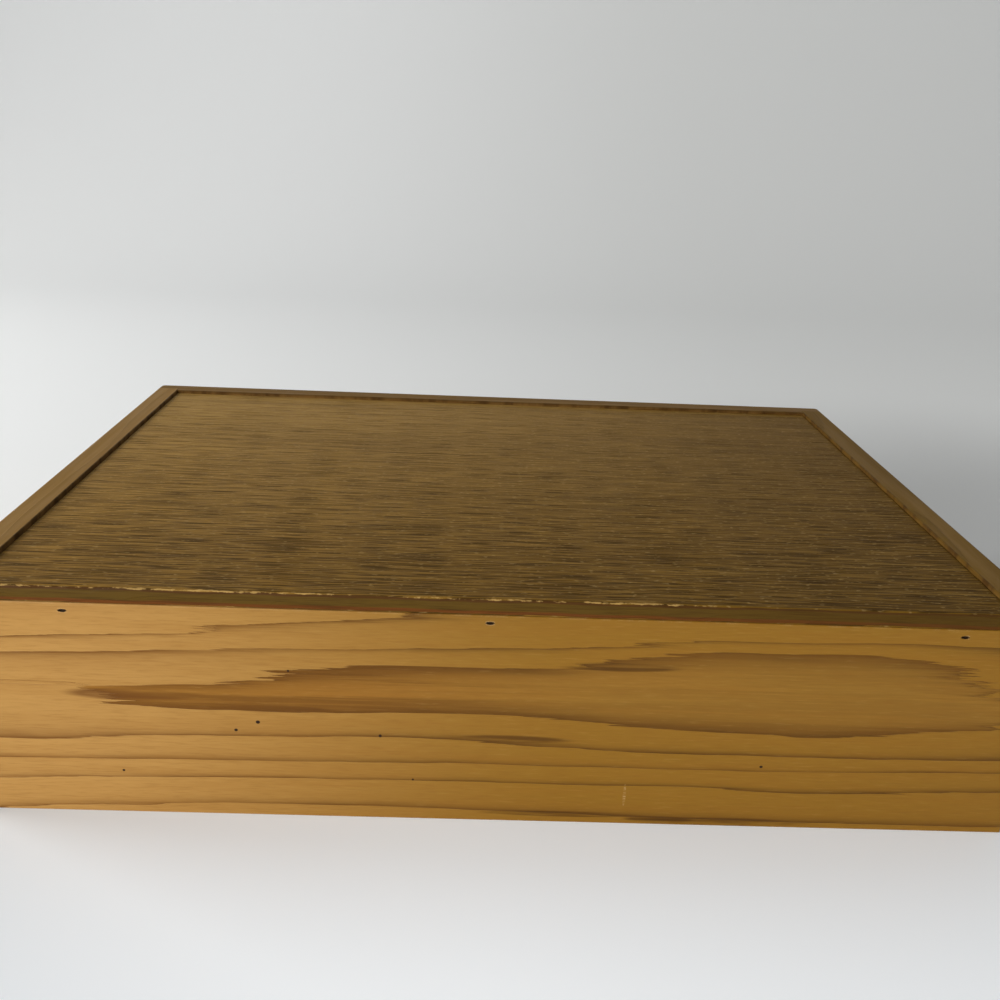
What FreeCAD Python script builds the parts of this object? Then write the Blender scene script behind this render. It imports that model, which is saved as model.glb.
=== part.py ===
# Wooden tool box with a plywood lid that slides out over its lowered front board.
# Frame: +X to the right, the front faces -Y, +Z up, origin under the middle of the box.
# Lengths are in millimetres.

import FreeCAD, Part
import os
import re
import Sketcher

document = FreeCAD.newDocument("SlidingLidToolBox")

# Driving sizes

SIZES = [
    ("box_length", 356.0, "whole box, left to right"),
    ("box_depth", 256.0, "whole box, front to back"),
    ("box_height", 85.0, "whole box, base to the top of the side boards"),
    ("board_thick", 11.0, "planed stock of the four boards"),
    ("lid_thick", 5.5, "plywood of the lid"),
    ("lid_recess", 1.5, "lid's face below the top of the side boards"),
    ("lid_play", 0.25, "air under and over the lid's tongue in its groove"),
    ("tongue_thick", 2.8, "tongue left by the rebate round the lid"),
    ("groove_depth", 5.0, "lid groove, into the side and back boards"),
    ("tongue_gap", 0.5, "air at the tongue's edge, at the bottom of the groove"),
    ("field_gap", 0.6, "air between the lid's raised field and the boards"),
    ("bottom_thick", 5.0, "plywood of the bottom"),
    ("bottom_lap", 6.0, "how far the bottom reaches into the boards' rebates"),
    ("bottom_gap", 0.2, "air round the edge of the bottom"),
    ("front_lip", 3.0, "lip of the front board over the ends of the side boards"),
    ("back_lap", 3.5, "how far each side board is let into the back board"),
    ("rest_width", 12.0, "lid rest strip, front to back"),
    ("rest_height", 14.0, "lid rest strip, top to bottom"),
    ("rest_gap", 0.3, "air at each end of the lid rest strip"),
    ("brad_length", 20.0, "brad in the boards, head to point"),
    ("bottom_brad_length", 14.0, "brad in the bottom, head to point"),
    ("brad_set", 0.7, "head punched below the surface"),
    ("head_long", 2.4, "brad head, long way"),
    ("head_short", 0.8, "brad head, short way"),
    ("head_thick", 0.8, "brad head, along the brad"),
    ("shank_long", 1.2, "brad shank, long way"),
    ("shank_short", 0.8, "brad shank, short way"),
    ("point_slope", 0.3, "bevel that points the brad"),
    ("rest_brad_drop", 2.8, "rest strip's brads below the top of the front board"),
    ("rest_brad_left", 39.7, "leftmost of them, from the box's left end"),
    ("rest_brad_middle", 175.4, "middle one, from the box's left end"),
    ("rest_brad_right", 26.4, "rightmost of them, from the box's right end"),
    ("corner_brad_end", 18.0, "outer corner brads, from the base and from the top"),
    ("bottom_brad_end", 30.0, "outer bottom brads, from the inner corner of the box"),
    ("top_round", 1.5, "eased outer top arris"),
    ("corner_round", 2.5, "rounded upright back corner"),
    ("arris_round", 0.6, "eased arris elsewhere"),
    ("lid_round", 0.4, "eased arris of the lid"),
]

sheet = document.addObject("Spreadsheet::Sheet", "Sizes")
for row, (alias, value, meaning) in enumerate(SIZES, start=1):
    sheet.set(f"A{row}", meaning)
    sheet.set(f"B{row}", str(value))
    sheet.setAlias(f"B{row}", alias)
document.recompute()

# Fits: every length that follows from the driving sizes, each one written once

FITS = {
    "inner_length": "(box_length - 2 * board_thick)",
    "inner_depth": "(box_depth - 2 * board_thick)",
    "side_length": "(box_depth - board_thick + back_lap)",
    "lid_underside": "(box_height - lid_recess - lid_thick)",
    "groove_floor": "(lid_underside - lid_play)",
    "groove_height": "(tongue_thick + 2 * lid_play)",
    "front_height": "groove_floor",
    "tongue_reach": "(groove_depth - tongue_gap)",
    "tongue_width": "(tongue_reach + field_gap)",
    "lid_width": "(inner_length + 2 * tongue_reach)",
    "lid_depth": "(box_depth - board_thick + tongue_reach)",
    "bottom_reach": "(bottom_lap - bottom_gap)",
    "bottom_width": "(inner_length + 2 * bottom_reach)",
    "bottom_depth": "(inner_depth + 2 * bottom_reach)",
    "rest_length": "(inner_length - 2 * rest_gap)",
    "rest_brad_height": "(front_height - rest_brad_drop)",
    "head_seat": "(brad_set + head_thick)",
    "brad_end": "(brad_set + brad_length)",
    "bottom_brad_tip": "(brad_set + bottom_brad_length)",
}

CORNER_BRAD_HEIGHTS = [
    "corner_brad_end",
    "(front_height / 2)",
    "(front_height - corner_brad_end)",
]
REST_BRAD_PLACES = ["rest_brad_left", "rest_brad_middle", "(box_length - rest_brad_right)"]
LONG_EDGE_BRADS = 4
SHORT_EDGE_BRADS = 3

PLANE_ROLES = {"Z": "XY_Plane", "Y": "XZ_Plane", "X": "YZ_Plane"}
NORMAL_SIGN = {"Z": 1, "Y": -1, "X": 1}
LEAST_CUT = 1e-4
SAME_PLACE = 0.01
PARALLEL = 0.9


def formula(text):
    """An expression in the sheet's cells, from words of FITS and SIZES."""
    while any(word in FITS for word in re.findall(r"[a-z_]+", text)):
        text = re.sub(r"[a-z_]+", lambda word: FITS.get(word.group(), word.group()), text)
    return re.sub(r"[a-z_]+", lambda word: "Sizes." + word.group(), text)


def length(text):
    """The value of such an expression now, in millimetres."""
    return float(sheet.evalExpression(formula(text)))


def spaced(first, last, count):
    """Expressions for places spread evenly from first to last."""
    return [f"({first} + ({last} - {first}) * {step} / {count - 1})" for step in range(count)]


def new_body(label, x, y, z):
    """A body whose own corner sits at x, y, z."""
    body = document.addObject("PartDesign::Body", "Body_" + label)
    body.Label = label
    body.AllowCompound = True
    for axis, place in (("x", x), ("y", y), ("z", z)):
        body.setExpression("Placement.Base." + axis, formula(place))
    return body


def sketch_rectangles(body, name, axis, offset, rectangles):
    """A sketch across axis, offset along it, of (left, right, low, high) rectangles."""
    sketch = body.newObject("Sketcher::SketchObject", f"{name}_sketch")
    role = PLANE_ROLES[axis]
    plane = [item for item in body.Origin.OriginFeatures if item.Role == role][0]
    sketch.AttachmentSupport = [(plane, "")]
    sketch.MapMode = "FlatFace"
    sketch.setExpression("AttachmentOffset.Base.z", formula(f"{NORMAL_SIGN[axis]} * ({offset})"))
    for left, right, low, high in rectangles:
        x0, x1, y0, y1 = (length(text) for text in (left, right, low, high))
        corners = [FreeCAD.Vector(x, y, 0) for x, y in ((x0, y0), (x1, y0), (x1, y1), (x0, y1))]
        lines = [
            sketch.addGeometry(Part.LineSegment(corners[i], corners[(i + 1) % 4])) for i in range(4)
        ]
        for i in range(4):
            sketch.addConstraint(
                Sketcher.Constraint("Coincident", lines[i], 2, lines[(i + 1) % 4], 1)
            )
        for line, direction in zip(lines, ("Horizontal", "Vertical", "Horizontal", "Vertical")):
            sketch.addConstraint(Sketcher.Constraint(direction, line))
        sides = (
            ("DistanceX", lines[0], 1, left, x0),
            ("DistanceX", lines[1], 1, right, x1),
            ("DistanceY", lines[0], 1, low, y0),
            ("DistanceY", lines[2], 1, high, y1),
        )
        for kind, line, end, text, value in sides:
            number = sketch.addConstraint(Sketcher.Constraint(kind, -1, 1, line, end, value))
            sketch.setExpression(f"Constraints[{number}]", formula(text))
    return sketch


def pad(body, name, axis, offset, rectangles, thickness):
    """Material from the sketch's plane towards +axis."""
    sketch = sketch_rectangles(body, name, axis, offset, rectangles)
    feature = body.newObject("PartDesign::Pad", name)
    feature.Profile = sketch
    feature.setExpression("Length", formula(thickness))
    feature.Reversed = NORMAL_SIGN[axis] < 0
    document.recompute()


def cut(body, name, axis, offset, rectangles, depth):
    """A cut from the sketch's plane towards +axis; it has to take wood away."""
    before = body.Shape.Volume
    sketch = sketch_rectangles(body, name, axis, offset, rectangles)
    feature = body.newObject("PartDesign::Pocket", name)
    feature.Profile = sketch
    feature.setExpression("Length", formula(depth))
    feature.Reversed = NORMAL_SIGN[axis] > 0
    document.recompute()
    if not before - body.Shape.Volume > LEAST_CUT:
        raise RuntimeError(f"{body.Label}: {name} takes nothing away")


def ease(body, name, radius, keep):
    """Round the straight edges whose middle and direction pass the keep test."""
    tip = body.Tip
    names = []
    for number, edge in enumerate(tip.Shape.Edges, start=1):
        if edge.Curve.TypeId != "Part::GeomLine":
            continue
        middle = edge.CenterOfMass
        direction = edge.tangentAt(edge.FirstParameter)
        if keep(middle, direction):
            names.append(f"Edge{number}")
    if not names:
        raise RuntimeError(f"{body.Label}: {name} finds no edge")
    fillet = body.newObject("PartDesign::Fillet", name)
    fillet.Base = (tip, names)
    fillet.setExpression("Radius", formula(radius))
    document.recompute()


def near(value, text):
    """Whether a coordinate is at the place that the expression gives."""
    return abs(value - length(text)) < SAME_PLACE


def across(centre, wide, high, height):
    """The rectangle of one brad's section, centred on (centre, height)."""
    return (
        f"({centre} - {wide} / 2)",
        f"({centre} + {wide} / 2)",
        f"({height} - {high} / 2)",
        f"({height} + {high} / 2)",
    )


def heads(places):
    """Sections of the brads' heads at (u, v) places."""
    return [across(u, "head_long", "head_short", v) for u, v in places]


def shanks(places):
    """Sections of the brads' shanks at (u, v) places."""
    return [across(u, "shank_long", "shank_short", v) for u, v in places]


# Places of the brads, each group once, so that holes and brads share them

REST_BRADS = [(place, "rest_brad_height") for place in REST_BRAD_PLACES]
FRONT_CORNER_BRADS = [("((board_thick + front_lip) / 2)", height) for height in CORNER_BRAD_HEIGHTS]
BACK_CORNER_BRADS = [("(board_thick / 2)", height) for height in CORNER_BRAD_HEIGHTS]
BOTTOM_ROW_X = spaced(
    "(bottom_reach + bottom_brad_end)", "(bottom_width - bottom_reach - bottom_brad_end)", LONG_EDGE_BRADS
)
BOTTOM_ROW_Y = spaced(
    "(bottom_reach + bottom_brad_end)", "(bottom_depth - bottom_reach - bottom_brad_end)", SHORT_EDGE_BRADS
)
BOTTOM_EDGE = "(bottom_reach - bottom_lap / 2)"


def bottom_brads_along(x_places, y_places):
    """Pairs of places in the bottom panel's own frame."""
    return [(x, y) for x in x_places for y in y_places]


FRONT_ROW = bottom_brads_along(BOTTOM_ROW_X, [BOTTOM_EDGE])
BACK_ROW = bottom_brads_along(BOTTOM_ROW_X, [f"(bottom_depth - {BOTTOM_EDGE})"])
LEFT_ROW = bottom_brads_along([BOTTOM_EDGE], BOTTOM_ROW_Y)
RIGHT_ROW = bottom_brads_along([f"(bottom_width - {BOTTOM_EDGE})"], BOTTOM_ROW_Y)


def shifted(places, dx, dy):
    """The same places read from a corner that lies at dx, dy from the panel's own."""
    return [(f"({x} - {dx})", f"({y} - {dy})") for x, y in places]


# Side boards: the lid groove runs out at the front, over the notch that takes the front board's lip

def side_board(label, hand):
    """Left board for hand -1, right board for hand +1; x runs across the thickness."""
    left_place = "(-box_length / 2)" if hand < 0 else "(box_length / 2 - board_thick)"
    body = new_body(label, left_place, "(-box_depth / 2)", "(0 * box_height)")

    def inner(depth):
        """The band of the thickness that lies within depth of the inner face."""
        if hand < 0:
            return f"(board_thick - {depth})", "board_thick"
        return "(0 * board_thick)", depth

    nothing = "(0 * board_thick)"
    pad(body, "board", "Z", nothing, [(nothing, "board_thick", nothing, "side_length")], "box_height")
    groove = inner("groove_depth") + (nothing, "side_length")
    cut(body, "lid_groove", "Z", "groove_floor", [groove], "groove_height")
    notch = (nothing, "board_thick", nothing, "front_lip")
    cut(body, "front_notch", "Z", nothing, [notch], "front_height")
    rebate = inner("bottom_lap") + ("(board_thick - bottom_lap)", "side_length")
    cut(body, "bottom_rebate", "Z", nothing, [rebate], "bottom_thick")

    outer = nothing if hand < 0 else "board_thick"
    ease(body, "top_arris", "top_round",
         lambda p, d: abs(d.y) > PARALLEL and near(p.x, outer) and near(p.z, "box_height"))
    ease(body, "outer_arrises", "arris_round",
         lambda p, d: near(p.x, outer) and (near(p.z, nothing) or near(p.y, nothing)))
    inner_face = "board_thick" if hand < 0 else nothing
    ease(body, "inner_top_arris", "lid_round",
         lambda p, d: abs(d.y) > PARALLEL and near(p.x, inner_face) and near(p.z, "box_height"))

    if hand < 0:
        cut(body, "corner_head_holes", "X", nothing, heads(FRONT_CORNER_BRADS), "head_seat")
    else:
        seat = "(board_thick - head_seat)"
        cut(body, "corner_head_holes", "X", seat, heads(FRONT_CORNER_BRADS), "head_seat")
    cut(body, "corner_shank_holes", "X", nothing, shanks(FRONT_CORNER_BRADS), "board_thick")
    reach = "(brad_end - board_thick + back_lap)"
    cut(body, "back_brad_holes", "Y", f"(side_length - {reach})", shanks(BACK_CORNER_BRADS), reach)
    row = LEFT_ROW if hand < 0 else RIGHT_ROW
    across_shift = "(bottom_reach - board_thick)" if hand < 0 else "(bottom_width - bottom_reach)"
    places = shifted(row, across_shift, "(bottom_reach - board_thick)")
    cut(body, "bottom_brad_holes", "Z", "bottom_thick", shanks(places), "(bottom_brad_tip - bottom_thick)")
    return body


# Front board: full width, lowered so that the lid slides out over it, a lip at each end over the side boards

def front_board():
    nothing = "(0 * board_thick)"
    body = new_body("front_board", "(-box_length / 2)", "(-box_depth / 2)", nothing)
    pad(body, "board", "Z", nothing, [(nothing, "box_length", nothing, "board_thick")], "front_height")
    laps = [
        (nothing, "board_thick", "front_lip", "board_thick"),
        ("(box_length - board_thick)", "box_length", "front_lip", "board_thick"),
    ]
    cut(body, "end_laps", "Z", nothing, laps, "front_height")
    rebate = ("board_thick", "(box_length - board_thick)", "(board_thick - bottom_lap)", "board_thick")
    cut(body, "bottom_rebate", "Z", nothing, [rebate], "bottom_thick")
    ease(body, "front_arrises", "lid_round", lambda p, d: near(p.y, nothing))
    cut(body, "rest_head_holes", "Y", nothing, heads(REST_BRADS), "head_seat")
    cut(body, "rest_shank_holes", "Y", nothing, shanks(REST_BRADS), "board_thick")
    grip = "(brad_end - board_thick)"
    cut(body, "left_brad_holes", "X", "board_thick", shanks(FRONT_CORNER_BRADS), grip)
    right_end = f"(box_length - board_thick - {grip})"
    cut(body, "right_brad_holes", "X", right_end, shanks(FRONT_CORNER_BRADS), grip)
    places = shifted(FRONT_ROW, "(bottom_reach - board_thick)", "(bottom_reach - board_thick)")
    cut(body, "bottom_brad_holes", "Z", "bottom_thick", shanks(places), "(bottom_brad_tip - bottom_thick)")
    return body


# Back board: full width, laps over the ends of the side boards, grooved for the lid

def back_board():
    nothing = "(0 * board_thick)"
    body = new_body("back_board", "(-box_length / 2)", "(box_depth / 2 - board_thick)", nothing)
    pad(body, "board", "Z", nothing, [(nothing, "box_length", nothing, "board_thick")], "box_height")
    laps = [
        (nothing, "board_thick", nothing, "back_lap"),
        ("(box_length - board_thick)", "box_length", nothing, "back_lap"),
    ]
    cut(body, "end_laps", "Z", nothing, laps, "box_height")
    groove = (
        "(board_thick - groove_depth)", "(box_length - board_thick + groove_depth)", nothing, "groove_depth"
    )
    cut(body, "lid_groove", "Z", "groove_floor", [groove], "groove_height")
    rebate = ("(board_thick - bottom_lap)", "(box_length - board_thick + bottom_lap)", nothing, "bottom_lap")
    cut(body, "bottom_rebate", "Z", nothing, [rebate], "bottom_thick")
    ends = (nothing, "box_length")
    ease(body, "back_corners", "corner_round",
         lambda p, d: abs(d.z) > PARALLEL and near(p.y, "board_thick") and any(near(p.x, e) for e in ends))
    ease(body, "top_arris", "top_round",
         lambda p, d: near(p.z, "box_height")
         and (near(p.y, "board_thick") or any(near(p.x, e) for e in ends)))
    ease(body, "inner_top_arris", "lid_round",
         lambda p, d: abs(d.x) > PARALLEL and near(p.y, nothing) and near(p.z, "box_height"))
    columns = ("(board_thick / 2)", "(box_length - board_thick / 2)")
    places = [(x, height) for height in CORNER_BRAD_HEIGHTS for x in columns]
    cut(body, "head_holes", "Y", "(board_thick - head_seat)", heads(places), "head_seat")
    cut(body, "shank_holes", "Y", nothing, shanks(places), "board_thick")
    places = shifted(BACK_ROW, "(bottom_reach - board_thick)", "(bottom_depth - bottom_reach)")
    cut(body, "bottom_brad_holes", "Z", "bottom_thick", shanks(places), "(bottom_brad_tip - bottom_thick)")
    return body


# Lid: plywood with a tongue on three edges, its front edge flush with the front board

def sliding_lid():
    nothing = "(0 * lid_thick)"
    body = new_body("sliding_lid", "(-lid_width / 2)", "(-box_depth / 2)", "lid_underside")
    pad(body, "panel", "Z", nothing, [(nothing, "lid_width", nothing, "lid_depth")], "lid_thick")
    side_rebates = [
        (nothing, "tongue_width", nothing, "lid_depth"),
        ("(lid_width - tongue_width)", "lid_width", nothing, "lid_depth"),
    ]
    cut(body, "side_rebates", "Z", "tongue_thick", side_rebates, "(lid_thick - tongue_thick)")
    back_rebate = (nothing, "lid_width", "(lid_depth - tongue_width)", "lid_depth")
    cut(body, "back_rebate", "Z", "tongue_thick", [back_rebate], "(lid_thick - tongue_thick)")
    ease(body, "front_arris", "lid_round",
         lambda p, d: abs(d.x) > PARALLEL and near(p.y, nothing) and near(p.z, "lid_thick"))
    return body


# Bottom: plywood held in rebates under all four boards

def bottom_panel():
    nothing = "(0 * bottom_thick)"
    body = new_body("bottom_panel", "(-bottom_width / 2)", "(-bottom_depth / 2)", nothing)
    pad(body, "panel", "Z", nothing, [(nothing, "bottom_width", nothing, "bottom_depth")], "bottom_thick")
    places = FRONT_ROW + BACK_ROW + LEFT_ROW + RIGHT_ROW
    cut(body, "head_holes", "Z", nothing, heads(places), "head_seat")
    cut(body, "shank_holes", "Z", nothing, shanks(places), "bottom_thick")
    return body


# Strip behind the front board's top edge, which carries the lid as it slides over

def lid_rest_strip():
    nothing = "(0 * board_thick)"
    body = new_body(
        "lid_rest_strip", "(-rest_length / 2)", "(board_thick - box_depth / 2)", "(front_height - rest_height)"
    )
    pad(body, "strip", "Z", nothing, [(nothing, "rest_length", nothing, "rest_width")], "rest_height")
    ease(body, "inner_arrises", "arris_round",
         lambda p, d: abs(d.x) > PARALLEL and near(p.y, "rest_width"))
    start = "((box_length - rest_length) / 2)"
    places = [(f"({x} - {start})", f"({z} - front_height + rest_height)") for x, z in REST_BRADS]
    cut(body, "brad_holes", "Y", nothing, shanks(places), "(brad_end - board_thick)")
    return body


# Brads: each group drives along its own +Z, from the surface at z = 0

def brads(label, places, long_text, turn, x, y, z):
    """A group of separate brads at (u, v) places; turn takes its +Z to the driving direction."""
    body = new_body(label, x, y, z)
    body.Placement.Rotation = turn
    pad(body, "heads", "Z", "brad_set", heads(places), "head_thick")
    pad(body, "shanks", "Z", "head_seat", shanks(places), f"({long_text} - head_thick)")
    tip = f"(brad_set + {long_text})"
    chamfer_base = body.Tip
    names = [
        f"Edge{number}"
        for number, edge in enumerate(chamfer_base.Shape.Edges, start=1)
        if near(edge.CenterOfMass.z, tip) and abs(edge.tangentAt(edge.FirstParameter).x) > PARALLEL
    ]
    chamfer = body.newObject("PartDesign::Chamfer", "points")
    chamfer.Base = (chamfer_base, names)
    chamfer.setExpression("Size", formula("point_slope"))
    document.recompute()
    return body


X_AXIS = FreeCAD.Vector(1, 0, 0)
Y_AXIS = FreeCAD.Vector(0, 1, 0)
Z_AXIS = FreeCAD.Vector(0, 0, 1)


def turned(columns):
    """The rotation that takes +X, +Y and +Z to the three given directions."""
    first, second, third = columns
    return FreeCAD.Rotation(FreeCAD.Matrix(
        first.x, second.x, third.x, 0,
        first.y, second.y, third.y, 0,
        first.z, second.z, third.z, 0,
        0, 0, 0, 1,
    ))


# From the front inwards, v runs down; from the left and the right inwards, u runs back
FROM_FRONT = turned((X_AXIS, -Z_AXIS, Y_AXIS))
FROM_BACK = turned((X_AXIS, Z_AXIS, -Y_AXIS))
FROM_LEFT = turned((Y_AXIS, Z_AXIS, X_AXIS))
FROM_RIGHT = turned((Y_AXIS, -Z_AXIS, -X_AXIS))
FROM_BELOW = turned((X_AXIS, Y_AXIS, Z_AXIS))


def mirrored_down(places):
    """The same places with v measured downwards."""
    return [(u, f"(0 - {v})") for u, v in places]


NOTHING = "(0 * box_height)"
LEFT_END = "(-box_length / 2)"
RIGHT_END = "(box_length / 2)"
FRONT_FACE = "(-box_depth / 2)"
BACK_FACE = "(box_depth / 2)"

PIECES = [
    front_board(),
    back_board(),
    side_board("left_side_board", -1),
    side_board("right_side_board", 1),
    bottom_panel(),
    lid_rest_strip(),
    sliding_lid(),
    brads("lid_rest_brads", mirrored_down(REST_BRADS), "brad_length", FROM_FRONT,
          LEFT_END, FRONT_FACE, NOTHING),
    brads("left_front_brads", FRONT_CORNER_BRADS, "brad_length", FROM_LEFT,
          LEFT_END, FRONT_FACE, NOTHING),
    brads("right_front_brads", mirrored_down(FRONT_CORNER_BRADS), "brad_length", FROM_RIGHT,
          RIGHT_END, FRONT_FACE, NOTHING),
    brads("left_back_brads", BACK_CORNER_BRADS, "brad_length", FROM_BACK,
          LEFT_END, BACK_FACE, NOTHING),
    brads("right_back_brads", BACK_CORNER_BRADS, "brad_length", FROM_BACK,
          "(box_length / 2 - board_thick)", BACK_FACE, NOTHING),
    brads("bottom_brads", FRONT_ROW + BACK_ROW + LEFT_ROW + RIGHT_ROW, "bottom_brad_length", FROM_BELOW,
          "(-bottom_width / 2)", "(-bottom_depth / 2)", NOTHING),
]

document.recompute()

for item in document.Objects:
    if "Invalid" in item.State or "Error" in item.State:
        raise RuntimeError(f"{item.Label} failed: {item.State}")
for piece in PIECES:
    if piece.Shape.isNull() or not piece.Shape.isValid():
        raise RuntimeError(f"{piece.Label} has no valid shape")

os.makedirs("parts", exist_ok=True)
for piece in PIECES:
    piece.Shape.exportStep(f"parts/{piece.Label}.step")
    box = piece.Shape.BoundBox
    print(f"{piece.Label}: {len(piece.Shape.Solids)} solids, {piece.Shape.Volume:.1f} mm3, "
          f"x {box.XMin:.2f} {box.XMax:.2f}, y {box.YMin:.2f} {box.YMax:.2f}, z {box.ZMin:.2f} {box.ZMax:.2f}")
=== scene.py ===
"""Looks of the wooden tool box with the sliding plywood lid.

Metres. +X to the right, the front board faces -Y, +Z up, the box stands on z = 0.
"""

import math

import bmesh
import bpy
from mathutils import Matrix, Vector, noise


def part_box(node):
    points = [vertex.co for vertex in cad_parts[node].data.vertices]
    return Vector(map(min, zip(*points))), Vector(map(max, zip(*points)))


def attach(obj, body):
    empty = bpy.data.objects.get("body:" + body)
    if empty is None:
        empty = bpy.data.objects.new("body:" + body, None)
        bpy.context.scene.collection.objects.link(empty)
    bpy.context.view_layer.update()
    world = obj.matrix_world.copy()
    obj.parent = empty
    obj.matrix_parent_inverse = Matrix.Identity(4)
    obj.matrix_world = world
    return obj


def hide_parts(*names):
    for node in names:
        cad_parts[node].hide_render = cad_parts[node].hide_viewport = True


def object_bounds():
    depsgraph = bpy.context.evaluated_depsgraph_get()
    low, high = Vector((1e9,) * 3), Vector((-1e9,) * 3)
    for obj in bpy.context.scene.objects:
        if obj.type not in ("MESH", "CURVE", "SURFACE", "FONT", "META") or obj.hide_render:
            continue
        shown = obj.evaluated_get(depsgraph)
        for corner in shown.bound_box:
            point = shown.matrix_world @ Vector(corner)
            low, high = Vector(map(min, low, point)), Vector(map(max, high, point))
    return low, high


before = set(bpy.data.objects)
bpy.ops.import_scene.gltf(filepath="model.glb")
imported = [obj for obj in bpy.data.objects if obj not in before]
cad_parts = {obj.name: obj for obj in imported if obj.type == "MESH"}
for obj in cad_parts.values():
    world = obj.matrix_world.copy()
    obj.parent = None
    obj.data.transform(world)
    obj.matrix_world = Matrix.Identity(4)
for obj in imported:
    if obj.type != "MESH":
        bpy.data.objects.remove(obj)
cad_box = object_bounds()

MM = 0.001
BOX_TOP = cad_box[1][2]
QUARTER = math.radians(90)
TOUCHING = 1e-5

# Camera: turned and placed so that the box's arrises fall where the photograph has them

CAMERA_PLACE = (-0.01039, -0.43641, 0.22722)
CAMERA_TURN = (70.3228, -2.3423, -0.8768)
FOCAL_PIXELS = 1067.6
PICTURE_PIXELS = 1000
SENSOR = 36.0
NEAREST_SEEN, FARTHEST_SEEN = 0.01, 30

# Noise cells to the metre, along the grain, across it and into the wood

FINE_FIBRE = (110, 1500, 1500)
COARSE_FIBRE = (18, 300, 300)
SPLINTERS = (25, 900, 900)
TRUNK_BENDS = (5, 9, 9)
COLOUR_DRIFT = (6, 30, 30)
SHORT_PORES = (60, 1900, 300)
LONG_PORES = (22, 1250, 300)
PAINTED_GLINT_CELLS = (330, 1000, 300)
VENEER_STREAKS = (4, 420, 60)
VENEER_CLOUDS = (3, 34, 10)
WORN_PATCHES = (260, 260, 260)


# Plain helpers

def tone(red, green, blue):
    """A colour given as the 0 to 255 values that it shows as."""
    def linear(value):
        share = value / 255
        return share / 12.92 if share <= 0.04045 else ((share + 0.055) / 1.055) ** 2.4
    return (linear(red), linear(green), linear(blue), 1)


def put(tree, kind, values=None, **settings):
    """Adds a node; a value that is a socket is linked, any other is set."""
    made = tree.nodes.new(kind)
    for name, value in settings.items():
        setattr(made, name, value)
    for name, value in (values or {}).items():
        if isinstance(value, bpy.types.NodeSocket):
            tree.links.new(value, made.inputs[name])
        else:
            made.inputs[name].default_value = value
    return made


def maths(tree, operation, *values):
    """A Math node's output."""
    made = put(tree, "ShaderNodeMath", dict(enumerate(values)), operation=operation)
    return made.outputs[0]


def vector_maths(tree, operation, *values):
    """A Vector Math node's output, a number for lengths and products and else a vector."""
    made = put(tree, "ShaderNodeVectorMath", dict(enumerate(values)), operation=operation)
    return made.outputs["Value" if operation in ("LENGTH", "DOT_PRODUCT", "DISTANCE") else "Vector"]


def ramp(tree, value, low, high, start=0.0, end=1.0, smooth=True):
    """Takes value from low..high to start..end, held outside that."""
    made = put(
        tree, "ShaderNodeMapRange",
        {"Value": value, "From Min": low, "From Max": high, "To Min": start, "To Max": end},
        interpolation_type="SMOOTHSTEP" if smooth else "LINEAR", clamp=True,
    )
    return made.outputs["Result"]


def blend_colour(tree, amount, first, second):
    """The first colour where amount is 0 and the second where it is 1."""
    made = put(tree, "ShaderNodeMix", data_type="RGBA", clamp_factor=True)
    for index, value in ((0, amount), (6, first), (7, second)):
        if isinstance(value, bpy.types.NodeSocket):
            tree.links.new(value, made.inputs[index])
        else:
            made.inputs[index].default_value = value
    return made.outputs[2]


def stain(tree, colour, mask, amount, tint):
    """The colour with a tint over it where the mask is, at most by amount."""
    return blend_colour(tree, maths(tree, "MULTIPLY", mask, amount), colour, tint)


def noise_value(tree, vector, cells, detail=2.0, rough=0.5):
    """Noise from 0 to 1 with so many cells to the metre along each axis."""
    scaled = vector_maths(tree, "MULTIPLY", vector, cells)
    made = put(
        tree, "ShaderNodeTexNoise",
        {"Vector": scaled, "Scale": 1.0, "Detail": detail, "Roughness": rough},
    )
    return made.outputs["Fac"]


def curve_value(tree, value, points):
    """A smooth curve through points, both ways from 0 to 1."""
    made = put(tree, "ShaderNodeFloatCurve", {"Value": value})
    mapping = made.mapping
    mapping.use_clip = False
    line = mapping.curves[0]
    line.points[0].location = points[0]
    line.points[1].location = points[-1]
    for place in points[1:-1]:
        line.points.new(*place)
    mapping.update()
    return made.outputs["Value"]


def new_group(name, inputs, outputs):
    """An empty node group with named sockets, and its two end nodes."""
    group = bpy.data.node_groups.new(name, "ShaderNodeTree")
    for label, kind, value in inputs:
        socket = group.interface.new_socket(label, in_out="INPUT", socket_type=kind)
        if value is not None:
            socket.default_value = value
    for label, kind in outputs:
        group.interface.new_socket(label, in_out="OUTPUT", socket_type=kind)
    return group, group.nodes.new("NodeGroupInput"), group.nodes.new("NodeGroupOutput")


def use_group(tree, group, values):
    """Places a group in a material and returns its node."""
    made = tree.nodes.new("ShaderNodeGroup")
    made.node_tree = group
    for name, value in values.items():
        if isinstance(value, bpy.types.NodeSocket):
            tree.links.new(value, made.inputs[name])
        else:
            made.inputs[name].default_value = value
    return made


VALUE, VECTOR = "NodeSocketFloat", "NodeSocketVector"


# Effects that several finishes share

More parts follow.
